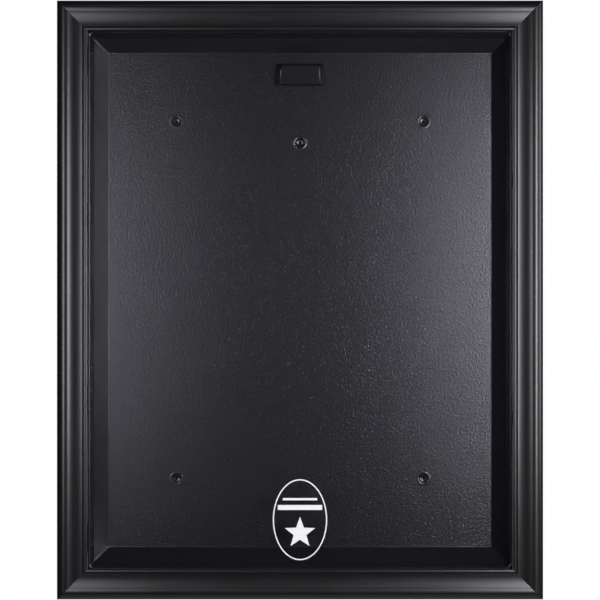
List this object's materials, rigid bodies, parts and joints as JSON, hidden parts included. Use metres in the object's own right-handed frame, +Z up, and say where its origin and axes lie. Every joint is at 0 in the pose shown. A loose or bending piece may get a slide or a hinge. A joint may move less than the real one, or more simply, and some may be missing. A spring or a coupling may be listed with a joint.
{
  "type": "jersey display case",
  "caption": "Wall-hung shallow display case: a moulded tray with a hanger hook, and a mitred moulding frame with a clear front that swings open on side hinges.",
  "frame": {"origin": "middle of the back plane that lies flat on the wall, with the case upright and closed", "axes": "+X to the right as the case is looked at, +Z up, +Y into the wall, so the clear front faces -Y"},
  "size_m": [0.8762, 0.0762, 1.0794],
  "materials": {
    "tray_plastic": "fine leather-grain moulded texture",
    "black_lacquer": "satin black lacquer over wood",
    "black_strip": "flat black paint over wood",
    "clear_acrylic": "clear polished acrylic sheet",
    "white_print": "white screen print",
    "hinge_steel": "zinc-plated pressed steel",
    "rivet_black": "black-coated steel",
    "wire_steel": "plain drawn steel",
    "magnet_nickel": "nickel-plated"
  },
  "bodies": {
    "case": {"backboard_tray": "tray_plastic", "hinge_1_case_leaf": "hinge_steel", "hinge_2_case_leaf": "hinge_steel", "hinge_3_case_leaf": "hinge_steel", "hinge_4_case_leaf": "hinge_steel", "hinge_1_pin": "hinge_steel", "hinge_2_pin": "hinge_steel", "hinge_3_pin": "hinge_steel", "hinge_4_pin": "hinge_steel", "hinge_case_rivets": "rivet_black", "magnet_upper": "magnet_nickel", "magnet_lower": "magnet_nickel"},
    "door": {"frame_rail_top": "black_lacquer", "frame_rail_bottom": "black_lacquer", "frame_stile_left": "black_lacquer", "frame_stile_right": "black_lacquer", "retaining_strip_top": "black_strip", "retaining_strip_bottom": "black_strip", "retaining_strip_left": "black_strip", "retaining_strip_right": "black_strip", "clear_front": "clear_acrylic", "printed_emblem": "white_print", "hinge_1_frame_leaf": "hinge_steel", "hinge_2_frame_leaf": "hinge_steel", "hinge_3_frame_leaf": "hinge_steel", "hinge_4_frame_leaf": "hinge_steel", "hinge_frame_screws": "hinge_steel", "strike_plate_screws": "hinge_steel", "strike_plate_upper": "hinge_steel", "strike_plate_lower": "hinge_steel", "corner_v_nails": "wire_steel", "strip_brads": "wire_steel"}
  },
  "joints": [
    {"name": "door_hinge", "type": "hinge", "parent": "case", "child": "door", "pos_m": [-0.38706, -0.05125, 0], "axis": [0, 0, -1], "range_deg": [0, 90]}
  ]
}
